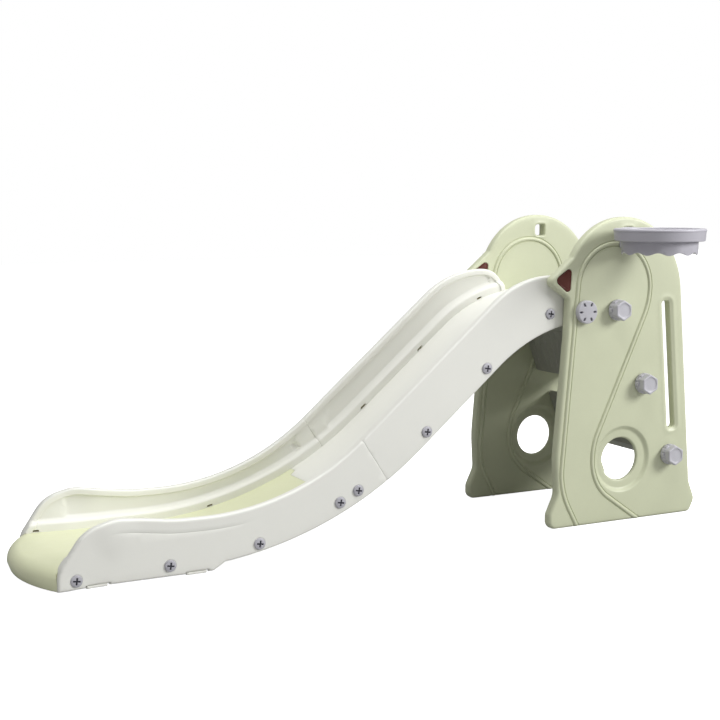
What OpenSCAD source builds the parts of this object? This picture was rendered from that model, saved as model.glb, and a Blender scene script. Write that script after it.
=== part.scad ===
// Toddler's straight slide: two bird-shaped side panels, three steps, a chute in two
// sections between side rails, and a ball hoop that plugs into one panel's head.
// Millimetres, +Z up. +X runs from the foot of the chute to the ladder, -Y is the hoop's side.
// Shapes are drawn in the slide's own frame: X = 0 at the front of the panels' neck,
// Y = 0 midway between the panels, Z = 0 on the floor.

/* [Side panels] */
// Height of the side panels
panel_h = 700; // [620:5:780]
// Thickness of a side panel
panel_t = 28; // [22:1:36]
// Clear width between the panels, and the width of the chute and steps
inner_w = 318; // [270:1:380]
// Radius of the round head
head_r = 157; // [140:1:165]
// Distance from the panel's front to the centre of the head
head_x = 184; // [180:1:195]
// Distance from the panel's front to the tip of its heel
heel_x = 409; // [395:1:415]
// Radius of the large round hole
hole_r = 49; // [35:1:55]
// Radius of the dish around the large round hole
dish_r = 78; // [66:1:82]
// Depth of the dish on each face
dish_depth = 7; // [3:1:9]
// Height of the large round hole's centre
hole_z = 145; // [120:1:155]
// Width of the hand slot
slot_w = 21; // [18:1:30]
// Length of the hand slot
slot_len = 300; // [200:5:310]
// Side of the square socket in the head
socket_w = 28; // [24:1:32]

/* [Steps] */
// Height of the platform, which is the top step's tread
deck_z = 519; // [490:1:525]
// Horizontal set-back from one step to the next
step_run = 80; // [60:1:84]
// Height of the bottom step's bolt
step_z = 146; // [130:1:155]
// Depth of a tread
tread_d = 99; // [85:1:104]
// Height of a tread above its bolt
tread_top = 28; // [26:1:34]
// Height of an upstand's top below the next step's bolt
upstand_gap = 60.5; // [58:0.5:90]
// Thickness of an upstand
plate_t = 14; // [10:1:18]
// Diameter of the step bolts' shanks
bolt_d = 16; // [12:1:20]
// Length of the bolt inside the step
bolt_grip = 40; // [30:1:60]

/* [Chute] */
// Slope of the straight run, in degrees
slope = 40.5; // [36:0.5:42]
// Height of the bed at the foot
bed_z = 44; // [40:1:50]
// Drop from the platform to the chute's crest
crest_drop = 15; // [12:1:20]
// Thickness of the bed plates
bed_t = 24; // [18:1:27]
// Radius of the bed where it levels out
bed_sweep_r = 800; // [700:10:860]
// Radius of the bed at the crest
crest_r = 350; // [250:10:400]
// Length of the flat run-out, from its vertex to the rails' front
run_out = 552; // [530:1:600]
// How far the rounded toe reaches past the rails
toe_reach = 54; // [45:1:80]
// Height of the rails above the bed on the flat
rail_rise = 66; // [55:1:75]
// Thickness of a rail
rail_t = 16; // [14:1:20]
// Extra thickness of the rail's top lip
lip_t = 4; // [2:1:6]
// Height of the top lip
lip_h = 14; // [10:1:18]
// Width of the shoulder that covers the bed's edge
shoulder_w = 10; // [6:1:14]
// Height of the shoulder
shoulder_h = 18; // [12:1:24]
// Diameter of the rail screws' heads
screw_head_d = 24; // [18:1:26]
// Diameter of the rail screws' shanks
screw_d = 8; // [6:1:10]

/* [Caps and knobs] */
// Width of the hexagonal bolt heads across the flats
hex_af = 42; // [36:1:43]
// Diameter of the bolt heads' collars
collar_d = 48; // [46:1:50]
// How far the bolt heads stand out from the panel
head_out = 28; // [20:1:34]
// Diameter of the round knobs
knob_d = 52; // [44:1:54]
// Thickness of the round knobs
knob_t = 15; // [12:1:20]

/* [Hoop] */
// Outer radius of the hoop
hoop_r = 100; // [80:1:110]
// Width of the hoop's rim
rim_w = 16; // [12:1:20]
// Height of the hoop's band
band_h = 27; // [20:1:32]
// Height of the scalloped skirt below the band
skirt_h = 30; // [20:1:36]
// Height of the hoop's middle above the centre of the head
hoop_lift = 120; // [110:1:122]
// Gap between the hoop and the panel
hoop_gap = 10; // [8:1:20]
// Length of the plug inside the socket
plug_len = 26; // [18:1:27]

/* [Hidden] */

$fn = 64;
fit = 0.15;              // clearance round a piece seated in another
run_fit = 0.4;           // clearance round the hoop's plug
eps = 0.01;              // overshoot of a cut past the face it opens
chord_error = 0.15;      // largest gap between an arc and its chords

inner_y = inner_w / 2;                 // inner face of a panel
outer_y = inner_y + panel_t;           // outer face of a panel
head_z = panel_h - head_r;
hoop_z = head_z + hoop_lift;           // centre of the socket
socket_x = head_x + 5;
crest_z = deck_z - crest_drop;
step_rise = (deck_z - tread_top - step_z) / 2;

// ---- flat geometry ----------------------------------------------------------------

function unit(v) = v / norm(v);
function xz(p) = [p[0], p[1]];
function wrap(a) = a > 180 ? a - 360 : a < -180 ? a + 360 : a;

// Points of the arc that rounds corner b between a and c with radius r
function corner(a, b, c, r) =
    r == 0 ? [b] :
    let(u = unit(a - b), v = unit(c - b), half = acos(u * v) / 2)
    let(centre = b + unit(u + v) * r / sin(half))
    let(p = b + u * r / tan(half) - centre, q = b + v * r / tan(half) - centre)
    let(start = atan2(p.y, p.x), sweep = wrap(atan2(q.y, q.x) - start))
    let(n = max(2, ceil(abs(sweep) / (2 * acos(1 - chord_error / max(r, 1))))))
    [for (i = [0:n]) centre + r * [cos(start + sweep * i / n), sin(start + sweep * i / n)]];

// An open path through [x, z, radius] vertices, its inner corners rounded
function path(v) = [
    for (i = [0:len(v) - 1]) let(last = len(v) - 1)
        each (i == 0 || i == last ? [xz(v[i])]
              : corner(xz(v[i - 1]), xz(v[i]), xz(v[i + 1]), v[i][2]))
];

// A closed outline through [x, z, radius] vertices, all its corners rounded
function outline(v) = let(n = len(v)) [
    for (i = [0:n - 1])
        each corner(xz(v[(i + n - 1) % n]), xz(v[i]), xz(v[(i + 1) % n]), v[i][2])
];

function reverse(v) = [for (i = [len(v) - 1:-1:0]) v[i]];

// Left normal of the segment from a to b
function normal(a, b) = let(d = unit(b - a)) [-d.y, d.x];

// The vertex path moved sideways by d, to the left of its direction
function shifted(v, d) = [
    for (i = [0:len(v) - 1]) let(last = len(v) - 1)
        let(before = normal(xz(v[max(i - 1, 0)]), xz(v[max(i, 1)])))
        let(after = normal(xz(v[min(i, last - 1)]), xz(v[min(i + 1, last)])))
        let(p = xz(v[i]) + d * (before + after) / (1 + before * after))
        let(turn = before.x * after.y - before.y * after.x)
        [p.x, p.y, v[i][2] == 0 ? 0 : v[i][2] - sign(turn) * d]
];

// Extrude a profile drawn in X and Z from y0 to y1
module across(y0, y1) {
    translate([0, y1, 0]) rotate([90, 0, 0]) linear_extrude(y1 - y0) children();
}

// A round bar along Y from y0 to y1
module bar(r, x, z, y0, y1) {
    translate([x, y1, z]) rotate([90, 0, 0]) cylinder(r = r, h = y1 - y0);
}

// side is -1 for the near side and 1 for the far side, which is its mirror image
module on_side(side) {
    if (side < 0) children();
    else mirror([0, 1, 0]) children();
}

// ---- chute lines ------------------------------------------------------------------

rise_per_run = tan(slope);
crest_x = -26;                          // vertex of the bed's line at the crest
bed_end_x = 110;                        // upper end of the bed
bed_end_rise = 20;                      // rise of the bed from its crest vertex to its end
low_x = crest_x - (crest_z - bed_z) / rise_per_run;  // vertex of the bed's line at the foot
front_x = low_x - run_out;              // front of the rails
sweep_x = low_x - bed_sweep_r * tan(slope / 2);      // where the bed's sweep begins
sweep_z = bed_z + bed_sweep_r;                       // centre of the bed's sweep
under_t = 31;                           // depth of the rail below the bed
seam_angle = 33;                        // seam of the rails, from the sweep's vertical
bed_seam_angle = 26.5;                  // lower edge of the upper bed
lap = 30;                               // how far the lower bed runs under the upper one
lap_t = 10;                             // thickness of the upper bed's lap

rail_foot_xs = [57, 259];               // from the rails' front to each foot
rail_foot_len = 42;
rail_foot_h = 8;                        // height of a foot, most of it in its pocket
rail_foot_drop = 2;                     // how far the feet stand below the rails
heel_from_front = rail_foot_xs[1] + rail_foot_len + 16;  // end of the rails' level underside

bed_line = [
    [front_x, bed_z, 0],
    [low_x, bed_z, bed_sweep_r],
    [crest_x, crest_z, crest_r],
    [bed_end_x, crest_z + bed_end_rise, 0]
];

rail_end_x = bed_end_x - 2;
rail_top_z = crest_z + 67;              // top of the rails at the crest
tongue_rise = 14;                       // top of the rails' tongues between the panels
top_line = [
    [low_x - 52, bed_z + rail_rise, 540],
    [crest_x - 52, rail_top_z, 230],
    [72, rail_top_z, 60],
    [72, crest_z + tongue_rise, 0],
    [rail_end_x, crest_z + tongue_rise, 4],
    [rail_end_x, crest_z - 30, 0]
];
nose_line = [
    [front_x, rail_foot_drop, 0],
    [front_x, 36, 60],
    [front_x + 54, bed_z + rail_rise + 5, 80],
    [front_x + 117, bed_z + rail_rise + 21, 80],
    [front_x + 240, bed_z + rail_rise + 4, 400]
];
rise_x = front_x + heel_from_front + 25;             // where the underside meets its curve
under_line = [
    [front_x, bed_z - under_t, 0],
    [low_x + under_t * tan(slope / 2), bed_z - under_t, bed_sweep_r + under_t],
    [crest_x - 32, crest_z - 69, 380],
    [rail_end_x, crest_z - 30, 0]
];
foot_line = [
    [front_x, rail_foot_drop, 0],
    [front_x + heel_from_front, rail_foot_drop, 6],
    [rise_x, sweep_z - sqrt(pow(bed_sweep_r + under_t, 2) - pow(rise_x - sweep_x, 2)), 0]
];

rail_outline = concat(
    path(concat(nose_line, top_line)),
    reverse([for (p = path(under_line)) if (p.x > rise_x + 1) p]),
    reverse(path(foot_line)));

// The bed plate's section, cut square at its upper end
module bed_section(depth) {
    intersection() {
        polygon(concat(path(bed_line), reverse(path(shifted(bed_line, -depth)))));
        translate([front_x - 1, 0]) square([bed_end_x - front_x + 1, panel_h]);
    }
}

// The half-plane on the foot's side of a line across the bed's sweep
module before_seam(angle, shift = 0) {
    reach = 3 * run_out;                // longer than the rails are across
    translate([sweep_x, sweep_z]) rotate(angle)
        translate([shift - reach, -bed_sweep_r - reach / 2]) square([reach, reach]);
}

module rail_section(lower) {
    if (lower) intersection() { children(); before_seam(seam_angle); }
    else difference() { children(); before_seam(seam_angle); }
}

// A strip of the given height that follows a line, on its left when height is positive
module strip(line, height) {
    polygon(concat(path(line), reverse(path(shifted(line, height)))));
}

// Line of the rails' top, from part way up the nose
lip_line = concat(
    [[front_x + 30, 80, 0], nose_line[2], nose_line[3], nose_line[4], top_line[0], top_line[1]],
    [[top_line[2].x - 0.5, rail_top_z - 0.5, 59], [top_line[2].x - 0.5, crest_z, 0]]);

// ---- screws along the chute -----------------------------------------------------------

// Three from the rails' front, two at the seam of the beds, two at shares of the straight run
// and one at the crest
screw_xs = concat([for (d = [36, 225, 415]) front_x + d], [for (d = [45, 87]) low_x + d],
                  [for (share = [0.467, 0.7456]) low_x + share * (crest_x - low_x)],
                  [crest_x + 27]);
// How far each lies below the bed's face; the two at the seam of the beds lie higher
screw_drops = concat([24, 20, bed_t / 2 + 2], [for (i = [1, 2]) bed_t / 2 - 4],
                     [for (i = [1:3]) bed_t / 2 + 2]);

// Height of the bed above the floor at x
function bed_at(x) =
    let(sweep_end = low_x + bed_sweep_r * tan(slope / 2) * cos(slope))
    let(crest_len = crest_r * tan((slope - atan(bed_end_rise / (bed_end_x - crest_x))) / 2))
    let(crest_start = crest_x - crest_len * cos(slope))
    x < sweep_x ? bed_z
    : x < sweep_end ? sweep_z - sqrt(pow(bed_sweep_r, 2) - pow(x - sweep_x, 2))
    : x < crest_start ? crest_z + (x - crest_x) * rise_per_run
    : let(cx = crest_start + crest_r * sin(slope))
      let(cz = crest_z + (crest_start - crest_x) * rise_per_run - crest_r * cos(slope))
      cz + sqrt(pow(crest_r, 2) - pow(x - cx, 2));

function screw_at(i) = [screw_xs[i], bed_at(screw_xs[i]) - screw_drops[i]];

screw_grip = 34;                        // length of a screw inside the bed's edge
head_sink = 1.5;                        // depth of a screw head's seat in the rail

module rail_screw_bores(first, last) {
    for (i = [first:last]) {
        p = screw_at(i);
        bar(screw_d / 2 + fit, p.x, p.y, -inner_y - eps, -inner_y + rail_t + eps);
        bar(screw_head_d / 2 + 1, p.x, p.y, -inner_y - eps, -inner_y + head_sink);
    }
}

module bed_screw_bores(first, last) {
    for (side = [-1, 1]) on_side(side)
        for (i = [first:last]) {
            p = screw_at(i);
            bar(screw_d / 2, p.x, p.y, -inner_y + rail_t - eps, -inner_y + rail_t + screw_grip + 1);
        }
}

module rail_screw() {
    rotate([90, 0, 0]) difference() {
        union() {
            cylinder(d = screw_head_d, h = 4);
            translate([0, 0, 4]) cylinder(d1 = screw_head_d, d2 = screw_head_d - 5, h = 2);
        }
        translate([0, 0, 5]) cube([15, 4, 4], center = true);
        translate([0, 0, 5]) cube([4, 15, 4], center = true);
    }
    bar(screw_d / 2, 0, 0, -1, rail_t - head_sink + screw_grip);
}

module rail_screws(side) {
    color("#8f8e96") on_side(side)
        for (i = [0:len(screw_xs) - 1]) {
            p = screw_at(i);
            translate([p.x, -inner_y + head_sink, p.y]) rail_screw();
        }
}

// ---- rails ------------------------------------------------------------------------

knob_x = 74;
knob_z = crest_z - 14;

module rail(side, lower) {
    color("#e8e8e3") on_side(side) difference() {
        union() {
            across(-inner_y, -inner_y + rail_t) rail_section(lower) polygon(rail_outline);
            across(-inner_y + rail_t - eps, -inner_y + rail_t + lip_t)
                rail_section(lower) difference() {
                    strip(lip_line, -lip_h);
                    bed_section(bed_t);
                }
            across(-inner_y + rail_t - eps, -inner_y + rail_t + shoulder_w)
                rail_section(lower) intersection() {
                    strip(bed_line, shoulder_h);
                    polygon(rail_outline);
                }
        }
        if (lower) {
            rail_screw_bores(0, 4);
            foot_blocks(rail_foot_h + fit, fit);
        }
        else {
            rail_screw_bores(5, len(screw_xs) - 1);
            bar(bolt_d / 2, knob_x, knob_z, -inner_y - eps, -inner_y + rail_t + eps);
        }
    }
}

// A foot's block, gap larger all round where it is a pocket
module foot_blocks(height, gap) {
    for (x = rail_foot_xs)
        translate([front_x + x - gap, -inner_y + 2 - gap, -eps * sign(gap)])
            cube([rail_foot_len + 2 * gap, rail_t - 4 + 2 * gap, height + eps * sign(gap)]);
}

module rail_feet(side) {
    color("#dededa") on_side(side) foot_blocks(rail_foot_h, 0);
}

// ---- beds -------------------------------------------------------------------------

bed_y = inner_y - rail_t;               // half width of the bed plates

// The toe in plan: an arc from one rail's front to the other's
toe_r = (pow(inner_y, 2) + pow(toe_reach, 2)) / (2 * toe_reach);

module toe_plan() {
    translate([front_x, 0]) intersection() {
        translate([toe_r - toe_reach, 0]) circle(r = toe_r, $fn = 160);
        translate([-toe_reach, -inner_y]) square([toe_reach - fit, inner_w]);
    }
}

// Block below the upper bed that a knob's shank runs into
module knob_boss() {
    translate([knob_x - 13, -bed_y, knob_z - 14]) cube([25, bolt_grip + 6, 25]);
}

module lower_bed() {
    color("#dbe2bf") difference() {
        union() {
            across(-bed_y, bed_y) intersection() {
                bed_section(bed_t);
                before_seam(bed_seam_angle, lap);
            }
            across(-bed_y, bed_y) polygon([
                [front_x - 1, 0], [front_x + 160, 0], [front_x + 190, bed_z - bed_t + 1],
                [front_x + 190, bed_z - 1], [front_x - 1, bed_z - 1]
            ]);
            linear_extrude(bed_z) toe_plan();
        }
        across(-bed_y - 1, bed_y + 1) difference() {
            polygon(concat(path(shifted(bed_line, 1)), reverse(path(shifted(bed_line, -lap_t)))));
            before_seam(bed_seam_angle);
        }
        bed_screw_bores(0, 4);
    }
}

module upper_bed() {
    color("#ebe9e2") difference() {
        union() {
            across(-bed_y, bed_y) difference() {
                bed_section(bed_t);
                before_seam(bed_seam_angle, lap + fit);
            }
            across(-bed_y, bed_y) difference() {
                bed_section(lap_t - fit);
                before_seam(bed_seam_angle, fit);
            }
            for (side = [-1, 1]) on_side(side) knob_boss();
        }
        bed_screw_bores(4, len(screw_xs) - 1);
        for (side = [-1, 1]) on_side(side)
            bar(bolt_d / 2, knob_x, knob_z, -inner_y + rail_t - eps, -inner_y + rail_t + bolt_grip + 1);
    }
}

// ---- side panels ------------------------------------------------------------------

// The head's arc ends at head_leave, and a wider curve leads from there to the straight back edge
back_top = [head_x + head_r + 8.5, head_z];
back_low = [heel_x - 18, 74];
back_up = (back_top - back_low) / norm(back_top - back_low);
head_leave = 45;
leave_at = [head_x, head_z] + head_r * [cos(head_leave), sin(head_leave)];
leave_along = [sin(head_leave), -cos(head_leave)];
ease_len = cross(back_top - leave_at, back_up) / cross(leave_along, back_up);
ease_r = 0.998 * ease_len / tan(acos(-leave_along * back_up) / 2);
panel_back = [
    [each leave_at, 0], [each (leave_at + ease_len * leave_along), ease_r],
    [each back_low, 60], [heel_x, 30, 20], [heel_x - 15, 0, 15]
];
panel_front = [
    [-9, 0, 17], [-9, 34, 22], [11, 76, 40], [6, 160, 300], [30, head_z - 103, 500],
    [33, head_z - 23, 9], [-24, head_z + 14, 14]
];
beak_turn = 153.8;                      // where the beak's top meets the head, from the rear
head_arc = [
    for (i = [60:-1:1]) let(a = head_leave + (beak_turn - head_leave) * i / 60)
        [head_x + head_r * cos(a), head_z + head_r * sin(a)]
];

module panel_profile() {
    polygon(concat(path(concat(panel_back, panel_front, [[each head_arc[0], 0]])), head_arc));
}

// Brown triangle in the beak
module inset_profile(gap = 0) {
    polygon(outline([
        [39 + gap, head_z + 50 + 2 * gap, 8], [-8 - 2 * gap, head_z + 19, 10],
        [35 + gap, head_z - 15 - 2 * gap, 8]
    ]));
}

// The slot follows the panel's back edge, and ends a little below the head's centre
slot_lean = atan((back_top.x - back_low.x) / (back_top.y - back_low.y));
slot_z = head_z - 36 - slot_len / 2;
slot_x = back_top.x + (slot_z - back_top.y) * tan(slot_lean) - 47;

module slot_profile() {
    translate([slot_x, slot_z]) rotate(-slot_lean)
        polygon(outline([
            [-slot_w / 2, -slot_len / 2, slot_w / 3], [slot_w / 2, -slot_len / 2, slot_w / 3],
            [slot_w / 2, slot_len / 2, slot_w / 3], [-slot_w / 2, slot_len / 2, slot_w / 3]
        ]));
}

module socket_profile(gap = 0) {
    half = socket_w / 2 - gap;
    front_r = 9;
    rear_r = 4;
    translate([socket_x, hoop_z])
        polygon(outline([
            [-half, -half, front_r], [half, -half, rear_r], [half, half, rear_r],
            [-half, half, front_r]
        ]));
}

step_x = 323;                           // bottom step's bolt
step_bolts_xz = [for (i = [0:2]) [step_x - i * step_run, step_z + i * step_rise]];
hole_x = 187;
dish_slope = 12;                        // width of the dish's sloping wall

module side_panel(side) {
    color("#cdd3b4") on_side(side) difference() {
        across(-outer_y, -inner_y) difference() {
            panel_profile();
            inset_profile(fit);
            slot_profile();
            socket_profile();
        }
        bar(hole_r, hole_x, hole_z, -outer_y - eps, -inner_y + eps);
        for (face = [0, 1])
            translate([hole_x, face ? -inner_y + eps : -outer_y - eps, hole_z])
                rotate([face ? 90 : -90, 0, 0])
                    cylinder(r1 = dish_r, r2 = dish_r - dish_slope, h = dish_depth);
        for (p = step_bolts_xz)
            bar(bolt_d / 2 + fit, p.x, p.y, -outer_y - eps, -inner_y + eps);
        bar(bolt_d / 2 + fit, knob_x, knob_z, -outer_y - eps, -inner_y + eps);
    }
}

module beak_inset(side) {
    color("#5a2a20") on_side(side)
        across(-outer_y + 1, -inner_y - 1) inset_profile();
}

// ---- steps ------------------------------------------------------------------------

lean = step_run / step_rise * 0.83;     // the upstands lean a little less than the ladder
upstand_h = step_rise - upstand_gap;    // top of an upstand above its bolt
upstand_x = -105;                       // front face of an upstand's top, from its bolt
tread_under = 18;                       // depth of a tread's underside below its bolt
plate_low = 17;                         // lower end of an upstand above its bolt
nose_x = tread_d - 59;                  // rear nose of a tread, from its bolt

// Front face of an upstand at height h above the bolt
function plate_x(h) = upstand_x + lean * (upstand_h - h);

module step_bores() {
    for (side = [-1, 1]) on_side(side)
        bar(bolt_d / 2, 0, 0, -inner_y - eps, -inner_y + bolt_grip + 1);
}

// skirt is how far the upstand reaches below the tread's front
module step(skirt) {
    color("#6a6b62") difference() {
        union() {
            across(-inner_y, inner_y) polygon(outline([
                [plate_x(plate_low), plate_low, 3], [plate_x(upstand_h), upstand_h, 6],
                [plate_x(upstand_h) + plate_t, upstand_h, 6],
                [plate_x(tread_top) + plate_t, tread_top, 10],
                [nose_x, tread_top, 12], [nose_x, -tread_under, 12], [12, -tread_under, 16]
            ]));
            low = plate_low - skirt;
            if (skirt > 0)
                across(-inner_y, inner_y) polygon(outline([
                    [plate_x(low), low, 3], [plate_x(24), 24, 0],
                    [plate_x(24) + plate_t, 24, 0], [plate_x(low) + plate_t, low, 3]
                ]));
        }
        step_bores();
    }
}

module step_middle() {
    translate([step_bolts_xz[1].x, 0, step_bolts_xz[1].y]) step(25);
}

module step_bottom() {
    translate([step_bolts_xz[0].x, 0, step_bolts_xz[0].y]) step(0);
}

// The top step is the platform: its front ledge carries the end of the chute
module step_top() {
    p = step_bolts_xz[2];
    top = p.y + tread_top;
    front = bed_end_x + 1;
    rear = p.x + 44;
    ledge = 24;                         // reach of the ledge below the chute's end
    color("#6a6b62") difference() {
        union() {
            across(-inner_y, inner_y) polygon(outline([
                [front, top, 6], [rear, top, 12], [rear, p.y - tread_under, 12],
                [front, p.y - tread_under - 2, 4]
            ]));
            across(-bed_y + 4, bed_y - 4) difference() {
                polygon([
                    [front + 1, top - 8], [front - ledge, top - 8], [front - ledge, p.y - 32],
                    [front + 1, p.y - 60], [front + plate_t, p.y - 60],
                    [front + plate_t + 20, p.y - tread_under]
                ]);
                bed_section(bed_t + fit);
                translate([0, top - 20]) square([front, 40]);
            }
        }
        translate([p.x, 0, p.y]) step_bores();
    }
}

// ---- bolts and knobs --------------------------------------------------------------

collar_t = 11;                          // thickness of a collar
flutes = 8;

module step_bolt() {
    rotate([90, 0, 0]) difference() {
        union() {
            cylinder(d = collar_d, h = collar_t);
            rotate(30) cylinder(d = hex_af / cos(30), h = head_out, $fn = 6);
        }
        for (i = [0:flutes - 1])
            rotate((i + 0.5) * 360 / flutes) translate([collar_d / 2 + 2.5, 0, 2])
                cylinder(r = 4, h = collar_t);
    }
    bar(bolt_d / 2, 0, 0, -1, panel_t + bolt_grip);
}

module step_bolts(side) {
    color("#b5b3bb") on_side(side)
        for (p = step_bolts_xz) translate([p.x, -outer_y, p.y]) step_bolt();
}

module slide_knob(side) {
    color("#b5b3bb") on_side(side) translate([knob_x, -outer_y, knob_z]) {
        rotate([90, 0, 0]) difference() {
            union() {
                cylinder(d = knob_d, h = knob_t - 3);
                translate([0, 0, knob_t - 3]) cylinder(d1 = knob_d, d2 = knob_d - 6, h = 3);
            }
            for (i = [0:5])
                rotate(i * 60) translate([knob_d / 2 - 6, 0, knob_t - 4]) cylinder(d = 5, h = 5);
        }
        bar(bolt_d / 2, 0, 0, -1, panel_t + rail_t + bolt_grip);
    }
}

// ---- hoop -------------------------------------------------------------------------

hoop_y = -outer_y - hoop_gap - hoop_r;  // centre of the hoop
band_top_z = hoop_z + band_h / 2;
band_low_z = hoop_z - band_h / 2;
skirt_r = hoop_r - rim_w;
skirt_t = 3;
scallops = 10;

module hoop_ring() {
    color("#b5b3bb") translate([socket_x, hoop_y, band_low_z]) difference() {
        cylinder(r = hoop_r, h = band_h, $fn = 96);
        translate([0, 0, -eps]) cylinder(r = skirt_r, h = band_h + 2 * eps, $fn = 96);
    }
}

module hoop_skirt() {
    color("#a9a7b0") translate([socket_x, hoop_y, band_low_z - skirt_h]) difference() {
        cylinder(r = skirt_r - fit, h = skirt_h + band_h - 6, $fn = 96);
        translate([0, 0, -eps]) cylinder(r = skirt_r - fit - skirt_t, h = skirt_h + band_h, $fn = 96);
        for (i = [0:scallops - 1])
            rotate((i + 0.5) * 360 / scallops) translate([0, 0, -6]) rotate([0, 90, 0])
                cylinder(r = 11, h = hoop_r);
    }
}

bracket_w = 48;
bracket_t = 5;
bracket_top = hoop_z + socket_w / 2;    // the bracket's plate covers the socket
arm_w = 38;                             // width of the arm that joins the plate to the band
arm_inset = 3;                          // how much lower the arm is than the band, above and below
arm_reach = 8;                          // how far the arm runs in under the band's curve
rest_gap = 0.3;                         // between the hoop's bracket and the panel

module hoop_bracket() {
    color("#b5b3bb") difference() {
        union() {
            translate([socket_x - bracket_w / 2, -outer_y - rest_gap - bracket_t,
                       bracket_top - bracket_w])
                cube([bracket_w, bracket_t, bracket_w]);
            translate([socket_x - arm_w / 2, -outer_y - hoop_gap - arm_reach,
                       band_low_z + arm_inset])
                cube([arm_w, arm_reach + hoop_gap - 2, band_h - 2 * arm_inset]);
        }
        translate([socket_x, hoop_y, 0]) cylinder(r = hoop_r + fit, h = panel_h, $fn = 96);
    }
}

plug_wall = 6;                          // from the socket's wall to the plug's hollow

module hoop_plug() {
    color("#a9a7b0") across(-outer_y - rest_gap, -outer_y - rest_gap + plug_len)
        difference() {
            socket_profile(run_fit);
            translate([socket_x, hoop_z]) square(socket_w - 2 * plug_wall, center = true);
        }
}

// ---- assembly, moved so that the origin is under the middle of its box -----------------

mid_x = (front_x - toe_reach + heel_x) / 2;
mid_y = (hoop_y - hoop_r + outer_y + head_out) / 2;

module place() { translate([-mid_x, -mid_y, 0]) children(); }

place() side_panel(-1);  // side_panel_near
place() side_panel(1);  // side_panel_far
place() beak_inset(-1);  // beak_inset_near
place() beak_inset(1);  // beak_inset_far
place() step_top();
place() step_middle();
place() step_bottom();
place() step_bolts(-1);  // step_bolts_near
place() step_bolts(1);  // step_bolts_far
place() slide_knob(-1);  // slide_knob_near
place() slide_knob(1);  // slide_knob_far
place() lower_bed();
place() upper_bed();
place() rail(-1, true);  // lower_rail_near
place() rail(1, true);  // lower_rail_far
place() rail(-1, false);  // upper_rail_near
place() rail(1, false);  // upper_rail_far
place() rail_screws(-1);  // rail_screws_near
place() rail_screws(1);  // rail_screws_far
place() rail_feet(-1);  // rail_feet_near
place() rail_feet(1);  // rail_feet_far
place() hoop_ring();
place() hoop_skirt();
place() hoop_bracket();
place() hoop_plug();
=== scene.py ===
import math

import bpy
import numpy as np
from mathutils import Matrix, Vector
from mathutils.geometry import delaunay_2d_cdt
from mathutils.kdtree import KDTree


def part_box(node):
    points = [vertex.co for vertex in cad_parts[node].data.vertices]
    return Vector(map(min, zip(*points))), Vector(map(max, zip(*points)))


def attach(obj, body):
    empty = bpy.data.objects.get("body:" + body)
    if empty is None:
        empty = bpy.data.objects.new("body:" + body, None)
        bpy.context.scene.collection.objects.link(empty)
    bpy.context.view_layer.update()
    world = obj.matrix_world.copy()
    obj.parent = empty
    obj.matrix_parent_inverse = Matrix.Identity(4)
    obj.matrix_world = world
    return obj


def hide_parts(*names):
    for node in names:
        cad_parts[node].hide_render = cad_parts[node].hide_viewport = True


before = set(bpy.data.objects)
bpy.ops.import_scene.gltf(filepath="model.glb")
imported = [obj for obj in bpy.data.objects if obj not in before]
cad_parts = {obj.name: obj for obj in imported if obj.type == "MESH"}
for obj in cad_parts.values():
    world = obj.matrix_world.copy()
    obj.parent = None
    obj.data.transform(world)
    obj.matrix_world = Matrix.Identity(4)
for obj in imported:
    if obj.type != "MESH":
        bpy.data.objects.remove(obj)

# Looks of a toddler's straight slide: two bird-shaped side panels, three steps, a chute in two
# sections between moulded rails, and a ball hoop that plugs into one panel's head.
# Shapes are drawn in millimetres in the slide's own frame, where X = 0 is the front of the
# panels' neck, Y = 0 is midway between the panels and Z = 0 is the floor. The near side is -Y,
# and the far side is its mirror image.

MM = 0.001
NEAR, FAR = -1, 1
SIDES = {NEAR: "near", FAR: "far"}
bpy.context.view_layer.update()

# ---- flat geometry ----


def unit(v):
    return v / np.linalg.norm(v)


def arc(centre, radius, start, end, count):
    """Points along an arc, angles in degrees."""
    angles = np.radians(np.linspace(start, end, count))
    return [np.array(centre) + radius * np.array([math.cos(a), math.sin(a)]) for a in angles]


def rounded_corner(a, b, c, radius, chord_error=0.06):
    """Points of the arc that rounds corner b between a and c."""
    if radius == 0:
        return [b]
    u, v = unit(a - b), unit(c - b)
    half = math.acos(max(-1, min(1, float(u @ v)))) / 2
    if half > math.radians(89.9):
        return [b]
    centre = b + unit(u + v) * radius / math.sin(half)
    p = b + u * radius / math.tan(half) - centre
    q = b + v * radius / math.tan(half) - centre
    start = math.atan2(p[1], p[0])
    sweep = (math.atan2(q[1], q[0]) - start + math.pi) % (2 * math.pi) - math.pi
    count = max(3, math.ceil(abs(sweep) / (2 * math.acos(1 - chord_error / max(radius, 1)))))
    return arc(centre, radius, math.degrees(start), math.degrees(start + sweep), count + 1)


def box_corners(half_x, half_z, radius):
    """Corners of a rectangle about the middle, all with one rounding."""
    return [[-half_x, -half_z, radius], [half_x, -half_z, radius], [half_x, half_z, radius],
            [-half_x, half_z, radius]]


def path(vertices):
    """An open line through (x, z, radius) vertices, its inner corners rounded."""
    points = [np.array(v[:2], float) for v in vertices]
    line = [points[0]]
    for i in range(1, len(points) - 1):
        line += rounded_corner(points[i - 1], points[i], points[i + 1], vertices[i][2])
    return np.array(line + [points[-1]])


def outline(vertices):
    """A closed outline through (x, z, radius) vertices, all its corners rounded."""
    points = [np.array(v[:2], float) for v in vertices]
    count = len(points)
    loop = []
    for i in range(count):
        loop += rounded_corner(points[i - 1], points[i], points[(i + 1) % count], vertices[i][2])
    return np.array(loop)


def tilted(degrees):
    """Matrix of a frame in X and Z that is tilted up by that angle."""
    a = math.radians(degrees)
    return np.array([[math.cos(a), math.sin(a)], [-math.sin(a), math.cos(a)]])


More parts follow.
